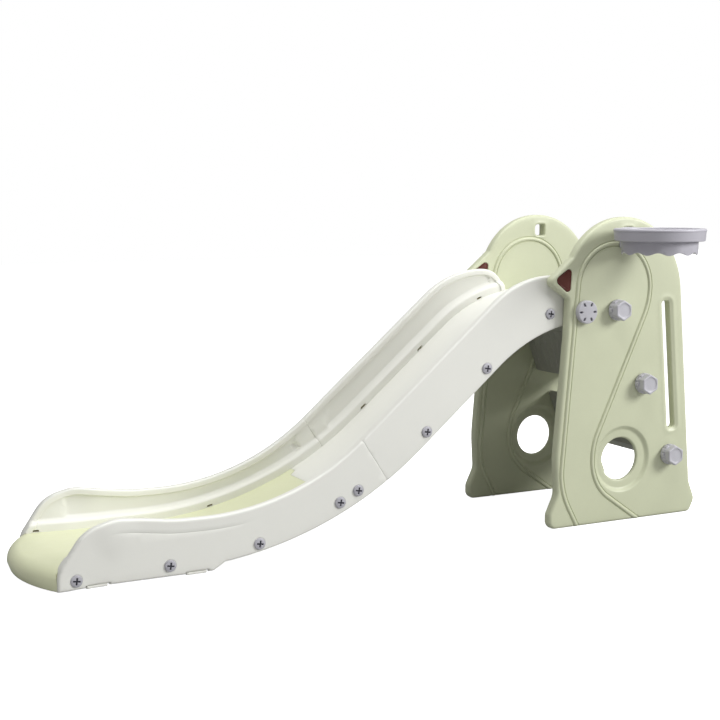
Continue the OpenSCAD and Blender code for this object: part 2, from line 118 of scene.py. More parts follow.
def in_tilted_box(points, centre, degrees, half):
    """Below 1 inside a tilted rectangle with those half sizes."""
    return (np.abs((points - np.array(centre)) @ tilted(degrees).T) / half).max(1)


def spread(line, step, closed=False):
    """The line's own points, with more between them wherever two lie more than step apart."""
    ends = np.roll(line, -1, axis=0) if closed else line[1:]
    points = []
    for a, b in zip(line, ends):
        count = max(1, math.ceil(np.linalg.norm(b - a) / step))
        points += [a + (b - a) * i / count for i in range(count)]
    if not closed:
        points.append(line[-1])
    return np.array(points)


def line_normals(line, closed):
    """Left normals at a line's points."""
    if closed:
        ahead = np.roll(line, -1, axis=0) - line
    else:
        ahead = np.vstack([line[1:] - line[:-1], line[-1:] - line[-2:-1]])
    ahead = ahead / np.linalg.norm(ahead, axis=1)[:, None]
    behind = np.roll(ahead, 1, axis=0)
    if not closed:
        behind[0] = ahead[0]
    middle = ahead + behind
    middle = middle / np.maximum(np.linalg.norm(middle, axis=1)[:, None], 1e-6)
    stretch = 1 / np.maximum((middle * ahead).sum(1), 0.6)
    return np.stack([-middle[:, 1], middle[:, 0]], axis=1) * stretch[:, None]


def distance(points, line, closed=False, signed=False):
    """Distance of each point from a line, positive on its left where signed."""
    a = line if closed else line[:-1]
    ab = (np.roll(line, -1, axis=0) if closed else line[1:]) - a
    square = np.maximum((ab * ab).sum(1), 1e-9)
    found = []
    for block in np.array_split(points, max(1, len(points) // 3000)):
        q = block[:, None, :] - a
        t = np.clip((q * ab).sum(2) / square, 0, 1)
        gap = q - t[..., None] * ab
        length = np.sqrt((gap ** 2).sum(2))
        nearest = length.argmin(1)
        rows = np.arange(len(block))
        best = length[rows, nearest]
        if signed:
            cross = ab[nearest, 0] * q[rows, nearest, 1] - ab[nearest, 1] * q[rows, nearest, 0]
            best = np.where(cross < 0, -best, best)
        found.append(best)
    return np.concatenate(found)


def inside(points, loops):
    """True for each point that lies in the outer loop and in none of the holes."""
    crossings = np.zeros(len(points), int)
    x, y = points[:, 0], points[:, 1]
    for loop in loops:
        for (ax, ay), (bx, by) in zip(loop, np.roll(loop, -1, axis=0)):
            if ay == by:
                continue
            level = (ay > y) != (by > y)
            crossings += level & (x < (bx - ax) * (y - ay) / (by - ay) + ax)
    return crossings % 2 == 1


def clip(loop, origin, normal):
    """The part of a closed loop on the side of a line that normal points to."""
    kept = []
    side = (loop - origin) @ normal
    for i in range(len(loop)):
        j = (i + 1) % len(loop)
        if side[i] >= 0:
            kept.append(loop[i])
        if side[i] * side[j] < 0:
            kept.append(loop[i] + (loop[j] - loop[i]) * side[i] / (side[i] - side[j]))
    return np.array(kept)


def smooth_step(x, low, high):
    """0 below low, 1 above high, and a smooth rise between."""
    t = np.clip((x - low) / (high - low), 0, 1)
    return t * t * (3 - 2 * t)


def bump(x, half_width):
    """1 at 0, falling smoothly to 0 at half_width."""
    return 1 - smooth_step(np.abs(x), 0, half_width)


# ---- mesh builders ----

def fillet_drop(d, radius):
    """How far an edge rounding of that radius drops the surface at distance d from the edge."""
    if radius == 0:
        return np.zeros(len(d))
    inset = np.clip(radius - d, 0, radius)
    return radius - np.sqrt(radius ** 2 - inset ** 2)


def thinned(candidates, kept, gap):
    """The candidates that lie at least gap from every point kept so far."""
    tree = KDTree(len(kept))
    for i, p in enumerate(kept):
        tree.insert((p[0], p[1], 0), i)
    tree.balance()
    far = [tree.find((p[0], p[1], 0))[2] >= gap for p in candidates]
    return candidates[np.array(far, bool)]


def slab(loops, radii, upper, lower, to_space, lines=(), grid=8.0, step=4.0, edges=None):
    """A plate with rounded edges, as (vertices, faces).

    loops are closed outlines, the outer one first; radii are their edge roundings. upper and
    lower give the faces' heights over (x, y) points, and to_space turns points and heights into
    vertices. lines are (line, closed, offsets): rows of points where the faces have detail.
    edges are (line, closed, radius), where the rounding changes along a loop."""
    loops = [spread(loop, step, closed=True) for loop in loops]
    edges = edges or [(loop, True, radius) for loop, radius in zip(loops, radii)]
    borders = np.vstack(loops)
    kept = borders
    for line, closed, radius in edges:
        if radius == 0:
            continue
        line = spread(line, step, closed)
        sideways = line_normals(line, closed)
        steps = 5 if radius > 2 else 2
        last = 0.0
        for k in range(1, steps + 1):
            d = radius * (1 - math.cos(math.pi / 2 * k / steps))
            for row in (line + sideways * d, line - sideways * d):
                clear = np.min([distance(row, loop, closed=True) for loop in loops], axis=0)
                own = distance(row, line, closed)
                row = row[(own > d * 0.97) & (clear > min(d, 0.4) * 0.97) & inside(row, loops)]
                if len(row):
                    kept = np.vstack([kept, thinned(row, kept, 0.4 * (d - last))])
            last = d
    for line, closed, offsets in lines:
        centre = spread(line, step, closed)
        normals = line_normals(centre, closed)
        for i, offset in enumerate(offsets):
            row = centre + normals * offset
            clear = np.min([distance(row, loop, closed=True) for loop in loops], axis=0)
            row = row[(clear > 0.5) & inside(row, loops)]
            spacing = abs(offset - offsets[i - 1]) if i else abs(offsets[1] - offset)
            if len(row):
                kept = np.vstack([kept, thinned(row, kept, 0.45 * min(spacing, 2.0))])
    low, high = borders.min(0), borders.max(0)
    field = np.array([
        (low[0] + (i + 0.5 * (j % 2)) * grid, low[1] + j * grid * 0.866)
        for i in range(int((high[0] - low[0]) / grid) + 2)
        for j in range(int((high[1] - low[1]) / grid / 0.866) + 2)
    ])
    field = field[inside(field, loops)]
    clear = np.min([
        distance(field, loop, closed=True) - radius for loop, radius in zip(loops, radii)
    ], axis=0)
    field = thinned(field[clear > 0.35 * grid], kept, 0.6 * grid)
    kept = np.vstack([kept, field])

    borders, start = [], 0
    for loop in loops:
        count = len(loop)
        borders += [(start + i, start + (i + 1) % count) for i in range(count)]
        start += count
    found = delaunay_2d_cdt([Vector(p) for p in kept], borders, [], 0, 1e-5)
    points = np.array([tuple(v) for v in found[0]])
    triangles = np.array(found[2])
    triangles = triangles[inside(points[triangles].mean(1), loops)]
    a, b, c = (points[triangles[:, i]] for i in range(3))
    turn = (b - a)[:, 0] * (c - a)[:, 1] - (b - a)[:, 1] * (c - a)[:, 0]
    triangles[turn < 0] = triangles[turn < 0][:, ::-1]
    triangles = triangles[np.abs(turn) > 1e-7]

    drop = sum(fillet_drop(distance(points, line, closed), r) for line, closed, r in edges)
    top = to_space(points, upper(points) - drop)
    bottom = to_space(points, lower(points) + drop)
    count = len(points)
    owner = {}
    for tri in triangles:
        for i in range(3):
            owner[(tri[i], tri[(i + 1) % 3])] = True
    walls = [(j, i, i + count, j + count) for i, j in owner if (j, i) not in owner]
    faces = [tuple(t) for t in triangles]
    faces += [(t[0] + count, t[2] + count, t[1] + count) for t in triangles]
    return np.vstack([top, bottom]), faces + walls


def rings(sections, wrap=False):
    """Skin over closed rings of points with equal counts, as (vertices, faces).

    Both ends are capped, or with wrap the last ring joins the first."""
    count = len(sections[0])
    vertices = np.vstack(sections)
    faces = []
    for k in range(len(sections) - (0 if wrap else 1)):
        low, high = k * count, (k + 1) % len(sections) * count
        faces += [
            (low + i, low + (i + 1) % count, high + (i + 1) % count, high + i)
            for i in range(count)
        ]
    if not wrap:
        last = (len(sections) - 1) * count
        faces.append(tuple(range(count))[::-1])
        faces.append(tuple(range(last, last + count)))
    return vertices, faces


def turned(stations, count=96, radius=None, relief=None):
    """A round piece on an axis that points to -Y, from (radius, height) stations.

    radius(r, height, angle) may change a station's radius, and relief(r, height, angle) its
    height, with angles in radians."""
    angles = np.linspace(0, 2 * math.pi, count, endpoint=False)
    sections = []
    for r, height in stations:
        rr = radius(r, height, angles) if radius else np.full(count, float(r))
        hh = height + (relief(rr, height, angles) if relief else 0) * np.ones(count)
        sections.append(np.stack([rr * np.cos(angles), -hh, rr * np.sin(angles)], axis=1))
    return rings(sections)


def moved(shape, offset):
    return shape[0] + np.asarray(offset, float), shape[1]


def joined(*shapes):
    """Several (vertices, faces) as one."""
    vertices, faces = [], []
    for shape_vertices, shape_faces in shapes:
        base = sum(len(v) for v in vertices)
        vertices.append(shape_vertices)
        faces += [tuple(i + base for i in face) for face in shape_faces]
    return np.vstack(vertices), faces


# ---- places in the row frame ----

panel_low, panel_high = (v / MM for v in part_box("side_panel_near"))
far_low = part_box("side_panel_far")[0] / MM
PANEL_T = panel_high.y - panel_low.y
PANEL_H = panel_high.z
MID_Y = (panel_high.y + far_low.y) / 2
INNER_Y = (far_low.y - panel_high.y) / 2
OUTER_Y = INNER_Y + PANEL_T
RAIL_END = 108  # upper end of the rails
ORIGIN = np.array([(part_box("upper_rail_near")[1].x / MM) - RAIL_END, MID_Y, 0])
FRONT_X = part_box("lower_rail_near")[0].x / MM - ORIGIN[0]


def centre_of(node):
    """Middle of a CAD node's box in the slide's own frame, in millimetres."""
    low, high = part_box(node)
    return np.array((low + high) / 2) / MM - ORIGIN


def add(name, shape, material, node, side=NEAR, at=(0, 0, 0), body="frame", sharp=38):
    """A piece of the object in place of a CAD node, mirrored for the far side."""
    vertices, faces = shape
    vertices = np.asarray(vertices, float) + np.asarray(at, float)
    if side == FAR:
        vertices = vertices * (1, -1, 1)
        faces = [face[::-1] for face in faces]
    mesh = bpy.data.meshes.new(name)
    mesh.from_pydata(((vertices + ORIGIN) * MM).tolist(), [], [list(map(int, f)) for f in faces])
    mesh.validate()
    mesh.shade_smooth()
    mesh.set_sharp_from_angle(angle=math.radians(sharp))
    obj = bpy.data.objects.new(name, mesh)
    bpy.context.scene.collection.objects.link(obj)
    for m in material if isinstance(material, (list, tuple)) else [material]:
        mesh.materials.append(m)
    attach(obj, body)
    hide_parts(node)
    return obj


def paint_shade(obj, chosen):
    """Paints shade: gives the obj's second material, a painted shade colour, to the faces whose middle
    chosen(x, y, z) picks.
    """
    middles = [(np.array(p.center) / MM - ORIGIN) for p in obj.data.polygons]
    picked = chosen(np.array(middles))
    obj.data.polygons.foreach_set("material_index", picked.astype(np.int32))


# ---- materials ----


def srgb(code):
    """A hexadecimal display colour as linear values."""
    values = [int(code[i:i + 2], 16) / 255 for i in (0, 2, 4)]
    return [v / 12.92 if v <= 0.04045 else ((v + 0.055) / 1.055) ** 2.4 for v in values] + [1]


def moulded(name, code, roughness=0.42, grain=900, grain_depth=0.00006, mottle=0.05):
    """Moulded plastic: slow colour drift, a fine pitted grain and faint handling marks."""
    material = bpy.data.materials.new(name)
    material.use_nodes = True
    nodes, links = material.node_tree.nodes, material.node_tree.links
    shader = nodes["Principled BSDF"]
    place = nodes.new("ShaderNodeTexCoord")

    def noise(scale, detail, rough=0.55):
        node = nodes.new("ShaderNodeTexNoise")
        node.inputs["Scale"].default_value = scale
        node.inputs["Detail"].default_value = detail
        node.inputs["Roughness"].default_value = rough
        links.new(place.outputs["Object"], node.inputs["Vector"])
        return node

    def span(source, low, high, to_low, to_high):
        node = nodes.new("ShaderNodeMapRange")
        node.inputs["From Min"].default_value = low
        node.inputs["From Max"].default_value = high
        node.inputs["To Min"].default_value = to_low
        node.inputs["To Max"].default_value = to_high
        links.new(source, node.inputs["Value"])
        return node.outputs["Result"]

    drift = noise(7, 3)
    speck = noise(260, 2, 0.7)
    colour = nodes.new("ShaderNodeHueSaturation")
    colour.inputs["Color"].default_value = srgb(code)
    blend = nodes.new("ShaderNodeMath")
    blend.operation = "MULTIPLY"
    links.new(span(drift.outputs["Fac"], 0.3, 0.7, 1 - mottle / 2, 1 + mottle / 2), blend.inputs[0])
    links.new(span(speck.outputs["Fac"], 0.3, 0.7, 1 - mottle / 5, 1 + mottle / 5), blend.inputs[1])
    links.new(blend.outputs["Value"], colour.inputs["Value"])
    links.new(colour.outputs["Color"], shader.inputs["Base Color"])
    marks = noise(38, 5, 0.65)
    links.new(span(marks.outputs["Fac"], 0.3, 0.75, roughness - 0.05, roughness + 0.08),
              shader.inputs["Roughness"])
    pits = nodes.new("ShaderNodeTexVoronoi")
    pits.inputs["Scale"].default_value = grain
    links.new(place.outputs["Object"], pits.inputs["Vector"])
    relief = nodes.new("ShaderNodeBump")
    relief.inputs["Strength"].default_value = 0.5
    relief.inputs["Distance"].default_value = grain_depth
    links.new(pits.outputs["Distance"], relief.inputs["Height"])
    waves = nodes.new("ShaderNodeBump")
    waves.inputs["Strength"].default_value = 0.35
    waves.inputs["Distance"].default_value = 0.0006
    links.new(noise(16, 2).outputs["Fac"], waves.inputs["Height"])
    links.new(relief.outputs["Normal"], waves.inputs["Normal"])
    links.new(waves.outputs["Normal"], shader.inputs["Normal"])
    shader.inputs["Specular IOR Level"].default_value = 0.42
    return material


GREEN = moulded("panel_green", "CCD0B3", roughness=0.40)
BED_GREEN = moulded("bed_green", "DFE2BF", roughness=0.36)
WHITE = moulded("chute_white", "ECECE5", roughness=0.36, mottle=0.025)
# painted shade: a dark olive that stands in for the shadow inside the rails' locking-tab slots
SLOT_PAINTED_SHADE = moulded("chute_slot_painted_shade", "8C8668", roughness=0.6)
BROWN = moulded("beak_brown", "582216", roughness=0.38, grain=500)
DARK_GREY = moulded("step_grey", "A3A49A", roughness=0.48)
CAP_GREY = moulded("cap_grey", "BDBCC2", roughness=0.42, grain=700, grain_depth=0.00025, mottle=0.12)
# painted shade: a dark grey that stands in for the shade inside the knobs' recessed oval marks
CAP_MARK_PAINTED_SHADE = moulded("knob_mark_painted_shade", "4A4852", roughness=0.6)
HOOP_GREY = moulded("hoop_grey", "BAB8C0", roughness=0.32, grain=1100)
SCREW_GREY = moulded("screw_grey", "B4B3BA", roughness=0.4, grain=900, grain_depth=0.0002, mottle=0.2)
# painted shade: a dark grey that stands in for the shade inside the screws' cross slots
SCREW_SLOT_PAINTED_SHADE = moulded("screw_slot_painted_shade", "3E3D46", roughness=0.6)

# ---- side panels ----

HEAD = np.array([184.0, 543.0])
HEAD_R = PANEL_H - HEAD[1]
HOLE = np.array([187.0, 145.0])
HOLE_R = 49
DISH_AT = HOLE + (3, 0)
DISH_R = 78
DISH_DEPTH = 7
EDGE_R = 7
RIDGE_HALF = 4.6  # half width of the moulded bead
RIDGE_RISE = 2.4
GROOVE_DEPTH = 1.7
FACE_UNDER = 1.6  # how far the panel's flats lie under the CAD faces
SLOT_THINNING = 2.6  # taken off each face next to the hand slot

BEAK_TIP = [-24, 557, 14]
PANEL_FRONT = [
    [-9, 0, 17], [-9, 34, 22], [11, 76, 40], [6, 160, 300], [30, 440, 500], [32.6, 520, 9], BEAK_TIP,
]
PANEL_BACK = [[391, 74, 60], [409, 30, 20], [394, 0, 15]]
BACK_TOP = [HEAD[0] + HEAD_R + 8.5, HEAD[1]]
BEAK_TOP_TURN = 153.8  # angle on the head where the beak's top edge meets it
HEAD_LEAVE = 45  # and where the wider curve to the back edge starts
INSET = [[39, 593, 8], [-8, 562, 10], [35, 528, 8]]
SLOT_AT, SLOT_W, SLOT_LEN, SLOT_LEAN = np.array([319.0, 357.0]), 21, 300, 5.06
SOCKET_W = 28
socket = np.array([centre_of("hoop_plug")[0], centre_of("hoop_plug")[2]])

# The moulded bead that draws the bird's body
RIDGE = path([
    [72.5, -12, 0], [17, 91, 170], [64.7, 641, 100], [257, 641, 100], [257, 506, 156],
    [105.5, 184.7, 130], [105.5, 92, 108], [254, -12, 0],
])


def panel_outline():
    head = arc(HEAD, HEAD_R, BEAK_TOP_TURN, HEAD_LEAVE, 41)
    first, last = head[0], head[-1]
    # the corner between the head's tangent and the back edge, and the curve that fills it
    leave = unit(np.array([last[1] - HEAD[1], HEAD[0] - last[0]]))
    down = unit(np.array(PANEL_BACK[0][:2], float) - BACK_TOP)
    gap = np.array(BACK_TOP) - last
    reach = (gap[0] * down[1] - gap[1] * down[0]) / (leave[0] * down[1] - leave[1] * down[0])
    ease = 0.998 * reach / math.tan(math.acos(leave @ down) / 2)
    corner = [[*last, 0], [*(last + reach * leave), ease]]
    loop = list(outline(PANEL_FRONT + [[*first, 0]] + corner + PANEL_BACK))
    after_first = next(i for i, p in enumerate(loop) if np.allclose(p, first))
    return np.array(loop[:after_first + 1] + head[1:-1] + loop[after_first + 1:])


def slot_outline(grow=0.0):
    half_w, half_l, r = SLOT_W / 2 + grow, SLOT_LEN / 2 + grow, SLOT_W / 3 + grow
    flat = outline(box_corners(half_w, half_l, r))
    return flat @ tilted(SLOT_LEAN) + SLOT_AT


def socket_outline():
    half = SOCKET_W / 2
    return socket + outline([[-half, -half, 9], [half, -half, 4], [half, half, 4], [-half, half, 9]])


def panel_relief(points):
    """How far the panel's faces stand out from their flat, in millimetres."""
    ridge = distance(points, RIDGE)
    relief = RIDGE_RISE * (1 - smooth_step(ridge, RIDGE_HALF - 2.8, RIDGE_HALF))
    relief -= GROOVE_DEPTH * bump(ridge - RIDGE_HALF - 0.8, 1.7)
    dish = np.linalg.norm(points - DISH_AT, axis=1)
    relief -= DISH_DEPTH * (1 - smooth_step(dish, DISH_R - 11, DISH_R + 0.5))
    slot = distance(points, slot_outline(), closed=True)
    relief += 1.0 * bump(slot - 9, 4) - SLOT_THINNING * (1 - smooth_step(slot, 3, 8))
    relief += 1.0 * bump(distance(points, socket_outline(), closed=True) - 4, 5)
    inset = distance(points, outline(INSET), closed=True)
    relief += 0.8 * bump(inset - 2.5, 3.5)
    return relief


def on_panel(points, height):
    """(x, z) points at a height from the middle of the near panel's thickness."""
    return np.stack([points[:, 0], -INNER_Y - PANEL_T / 2 - height, points[:, 1]], axis=1)


def panel_shape():
    # the whole face lies a little under the CAD face, so that beads reach it and not past it
    face = PANEL_T / 2 - FACE_UNDER
    circle = arc(HOLE, HOLE_R, 0, 360, 97)[:-1]
    loops = [panel_outline(), np.array(circle), slot_outline(), socket_outline(), outline(INSET)]
    half_rows = [1.8, 2.7, 3.6, 4.6, 5.4, 6.2, 7.1]
    ridge_rows = [-d for d in half_rows[::-1]] + [0] + half_rows
    dish = np.array(arc(DISH_AT, DISH_R, 0, 360, 141)[:-1])
    dish_rows = [-1, 0.5, 1.5, 3, 5, 7, 9, 10.5, 12, 15]

    return slab(
        loops, [EDGE_R, 5, 3.5, 2.5, 1.5],
        lambda p: face + panel_relief(p), lambda p: -face - panel_relief(p), on_panel,
        lines=[(RIDGE, False, ridge_rows), (dish, True, dish_rows),
               (slot_outline(), True, [-13, -10, -7, 5.5]),
               (socket_outline(), True, [-9, -6.5, -4, 1])],
        grid=9, step=4,
    )


def beak_inset_shape():
    face = PANEL_T / 2 - 1.2

    def crown(points):
        edge = distance(points, outline(INSET), closed=True)
        return face - 1.4 * (1 - smooth_step(edge, 3.5, 7)) * smooth_step(edge, 1.5, 3.5)

    loop = outline(INSET)
    middle = loop.mean(0)
    loop = middle + (loop - middle) * 0.99
    return slab([loop], [1.2], crown, lambda p: -crown(p), on_panel, grid=3, step=1.5)


# ---- chute lines ----

SLOPE = 40.5
BED_Z = 44
BED_T = 24
SWEEP_R = 800
CREST = (-26, 504)
BED_END = (110, 524)
LOW_X = CREST[0] - (CREST[1] - BED_Z) / math.tan(math.radians(SLOPE))
SWEEP_X = LOW_X - SWEEP_R * math.tan(math.radians(SLOPE / 2))
SWEEP_Z = BED_Z + SWEEP_R
RAIL_T = 16
RAIL_RISE = 66
RAIL_TOP = CREST[1] + 67
UNDER_T = 31
LIP_T, LIP_H = 4, 14
SHOULDER_W, SHOULDER_H = 10, 17
FOOT_DROP = 2
SEAM_ANGLE, BED_SEAM_ANGLE = 33, 26.5

BED_LINE = [[FRONT_X, BED_Z, 0], [LOW_X, BED_Z, SWEEP_R], [*CREST, 350], [*BED_END, 0]]
NOSE_LINE = [
    [FRONT_X, FOOT_DROP, 0], [FRONT_X, 36, 60], [FRONT_X + 54, BED_Z + RAIL_RISE + 5, 80],
    [FRONT_X + 117, BED_Z + RAIL_RISE + 21, 80], [FRONT_X + 240, BED_Z + RAIL_RISE + 4, 400],
]
TOP_LINE = [
    [LOW_X - 52, BED_Z + RAIL_RISE, 540], [CREST[0] - 52, RAIL_TOP, 230], [72, RAIL_TOP, 60],
    [72, CREST[1] + 14, 0], [RAIL_END, CREST[1] + 14, 4], [RAIL_END, CREST[1] - 30, 0],
]
HEEL_X = FRONT_X + 317  # end of the rails' level underside
RISE_X = HEEL_X + 25  # where the underside meets its curve
UNDER_LINE = [
    [FRONT_X, BED_Z - UNDER_T, 0],
    [LOW_X + UNDER_T * math.tan(math.radians(SLOPE / 2)), BED_Z - UNDER_T, SWEEP_R + UNDER_T],
    [CREST[0] - 32, CREST[1] - 69, 380], [RAIL_END, CREST[1] - 30, 0],
]
FOOT_XS = (57, 259)  # from the rails' front to each foot
FOOT_LEN = 42
FOOT_NOTCH = 3.6  # height of the notch that shows each foot
FOOT_LINE = [[FRONT_X, FOOT_DROP, 0]]
for foot_x in FOOT_XS:
    notch_start, notch_end = FRONT_X + foot_x - 1, FRONT_X + foot_x + FOOT_LEN + 5
    FOOT_LINE += [[notch_start, FOOT_DROP, 0], [notch_start, FOOT_DROP + FOOT_NOTCH, 0],
                  [notch_end, FOOT_DROP + FOOT_NOTCH, 0], [notch_end, FOOT_DROP, 0]]
FOOT_LINE += [
    [HEEL_X, FOOT_DROP, 6],
    [RISE_X, SWEEP_Z - math.sqrt((SWEEP_R + UNDER_T) ** 2 - (RISE_X - SWEEP_X) ** 2), 0],
]
SCREW_XS = [FRONT_X + d for d in (36, 225, 415)]
SCREW_XS += [LOW_X + d for d in (45, 87)]
SCREW_XS += [LOW_X + share * (CREST[0] - LOW_X) for share in (0.467, 0.7456)]
SCREW_XS += [CREST[0] + 27]
LOWER_SCREWS = 5  # how many of them hold the lower rail
SCREW_DROPS = [24, 20] + [BED_T / 2 + d for d in (2, -4, -4, 2, 2, 2)]  # below the bed's face
TAB_XS = [-1085, -700, -318, -167, -3]  # the beds' locking tabs in the rails
GRIP_X = (-38, 34)  # hollow in the rails' top at the crest

bed_path = path(BED_LINE)
rail_top = path(NOSE_LINE + TOP_LINE[:3] + [[72, CREST[1], 0]])
nose_edge = rail_top[rail_top[:, 0] < FRONT_X + 88]
FLARE = 11  # how far the rails' noses bend outwards
FLARE_REACH = 92


def flare(points):
    """How far the rails lean outwards at (x, z) points near their nose."""
    return FLARE * (1 - smooth_step(distance(points, nose_edge), 0, FLARE_REACH))


def seam_line(angle):
    """Origin and direction-of-foot normal of a cut across the sweep."""
    a = math.radians(angle)
    return np.array([SWEEP_X, SWEEP_Z]), np.array([-math.cos(a), -math.sin(a)])


def rail_outline(lower):
    under = path(UNDER_LINE)
    under = under[under[:, 0] > RISE_X + 1]
    loop = np.vstack([path(NOSE_LINE + TOP_LINE), under[::-1][1:], path(FOOT_LINE)[:0:-1]])[::-1]
    origin, normal = seam_line(SEAM_ANGLE)
    return clip(loop, origin, normal if lower else -normal)


def screw_place(i):
    """Where a rail's screw sits, in X and Z."""
    x = SCREW_XS[i]
    return np.array([x, np.interp(x, bed_path[:, 0], bed_path[:, 1]) - SCREW_DROPS[i]])


POCKET = ((-486, 178), 31, (9, 9.5))  # middle, tilt and half sizes, in the lower rail's inner wall
PAD = ((-424, 213), 37, (22, 13))  # the same for the raised pad past the seam


def rail_inner(points, lower):
    """Thickness of the rail's wall, with its rolled lip, hollow and shoulder."""
    below_top = distance(points, rail_top)
    above_bed = distance(points, bed_path, signed=True)
    wall = RAIL_T - 0.6 + LIP_T * (1 - smooth_step(below_top, LIP_H - 1.2, LIP_H + 0.4))
    # the hollow between the lip and the shoulder, closed at both ends
    x = points[:, 0]
    if lower:
        ends = np.minimum(x - (FRONT_X + 95), (-488 - x) * 1.2)
    else:
        ends = np.minimum((x + 405) * 1.2, GRIP_X[1] - 2 - x)
    band = np.minimum(below_top - LIP_H - 1, above_bed - SHOULDER_H - 9)
    hollow = smooth_step(np.minimum(band, ends), -0.5, 2.2)
    wall -= 3.4 * hollow
    if lower:
        # a deeper pocket where the lower rail's hollow ends
        wall -= 5.0 * (1 - smooth_step(in_tilted_box(points, *POCKET), 0.7, 1.0))
    shoulder = 1 - smooth_step(above_bed, SHOULDER_H - 3, SHOULDER_H + 9)
    wall += SHOULDER_W * shoulder * smooth_step(above_bed, -6, 0)
    # a raised pad where each rail's straight wall starts past the seam
    if not lower:
        wall += 1.4 * (1 - smooth_step(in_tilted_box(points, *PAD), 0.88, 1.0))
    for tab in TAB_XS:
        wall -= 6 * (1 - smooth_step(np.abs(x - tab), 5, 6.5)) * bump(above_bed - 3, 2.6)
    return wall


def in_tab_slot(middles):
    """True for the faces inside the locking tabs' slots, which get the painted slot shade."""
    above_bed = distance(middles[:, [0, 2]], bed_path, signed=True)
    near_tab = np.min([np.abs(middles[:, 0] - tab) for tab in TAB_XS], axis=0) < 6
    return near_tab & (np.abs(above_bed - 3) < 2.0) & (np.abs(middles[:, 1]) < INNER_Y - 8)


def rail_outer(points, lower):
    """Outer face: a faint line under the rim and a shallow seat round each screw."""
    below_top = distance(points, rail_top)
    face = np.full(len(points), -0.4)
    if lower:
        along = smooth_step(points[:, 0], FRONT_X + 95, FRONT_X + 150)
        along *= 1 - smooth_step(points[:, 0], FRONT_X + 330, FRONT_X + 430)
        face -= 0.9 * along * bump(below_top - 27, 2.2)
    for i in range(len(SCREW_XS)):
        gap = np.linalg.norm(points - screw_place(i), axis=1)
        face -= 0.9 * (1 - smooth_step(gap, 12.4, 13.6))
    return face


def rail_shape(lower):
    def to_space(points, height):
        return np.stack([points[:, 0], -INNER_Y - flare(points) - height, points[:, 1]], axis=1)

    first, last = (0, LOWER_SCREWS) if lower else (LOWER_SCREWS, len(SCREW_XS))
    seats = [
        (np.array(arc(screw_place(i), 13, 0, 360, 49)[:-1]), True, [-4, -1.5, -0.6, 0, 0.6, 2, 4])
        for i in range(first, last)
    ]
    tabs = [
        (np.array([[x + d, np.interp(x + d, bed_path[:, 0], bed_path[:, 1])]
                   for d in (-9, -6.5, -5, -2.5, 0, 2.5, 5, 6.5, 9)]),
         False, [0.4, 1.2, 2.1, 3, 3.9, 4.8, 5.6])
        for x in TAB_XS
    ]
    loop = rail_outline(lower)
    seam_at, seam_normal = seam_line(SEAM_ANGLE)
    on_seam = np.abs((loop - seam_at) @ seam_normal) < 0.01
    # the loop starts next to the seam, so that its own edge is one open line
    start = next(i for i in range(len(loop)) if on_seam[i] and not on_seam[(i + 1) % len(loop)])
    edge = np.roll(loop, -start, axis=0)
    return slab(
        [loop], [5],
        lambda p: rail_outer(p, lower), lambda p: -rail_inner(p, lower), to_space,
        lines=tabs + seats + [
            (rail_top, False, [-9, -11, -12.8, -13.6, -14.4, -15.6, -16.8, -18, -24.8, -25.9, -27,
                               -28.1, -29.2]),
            (bed_path, False, [-6, -3, 0, 3, 8, 12.5, 14, 15.5, 17, 18.5, 20.5, 22.5, 25, 27, 29, 31]),
        ],
        grid=10, step=6,
        edges=[(edge, False, 5), (np.array([edge[-1], edge[0]]), False, 0.9)],
    )


# ---- beds ----

BED_HALF = INNER_Y - RAIL_T - 0.5
TOE_REACH = 53.5
TOE_R = 26  # rounding of the toe's top edge
TOE_HALF = INNER_Y + FLARE - 7  # half width of the toe at the rails' front
TOE_TUCK = 5  # how far the toe's foot lies behind its bulge

bed_fine = spread(bed_path, 4)
bed_s = np.concatenate([[0], np.cumsum(np.linalg.norm(np.diff(bed_fine, axis=0), axis=1))])
bed_normal = line_normals(bed_fine, False)


def on_bed(points, height):
    """(s, y) points along the bed's line, raised by height along its normal."""
    s = points[:, 0]
    inside_s = np.clip(s, 0, bed_s[-1])
    x = np.interp(inside_s, bed_s, bed_fine[:, 0]) + (s - inside_s)
    z = np.interp(inside_s, bed_s, bed_fine[:, 1])
    nx = np.interp(inside_s, bed_s, bed_normal[:, 0])
    nz = np.interp(inside_s, bed_s, bed_normal[:, 1])
    return np.stack([x + nx * height, points[:, 1], z + nz * height], axis=1)


def bed_s_at(angle):
    """Distance along the bed at which a seam crosses it."""
    x = SWEEP_X + SWEEP_R * math.sin(math.radians(angle))
    return float(np.interp(x, bed_fine[:, 0], bed_s))


def bed_joint(reach):
    """The upper bed's stepped lower edge, from the near side to the far side."""
    s = bed_s_at(BED_SEAM_ANGLE) + reach
    tab_in, tab_out, depth, slant = 22, 104, 16, 9
    edge = [(-BED_HALF, 0), (-tab_out - slant, 0), (-tab_out, depth), (-tab_in, depth),
            (-tab_in + slant, 0)]
    edge += [(-y, d) for y, d in edge[::-1]]
    return [[s - d, y, 4 if 0 < abs(y) < BED_HALF else 0] for y, d in edge]


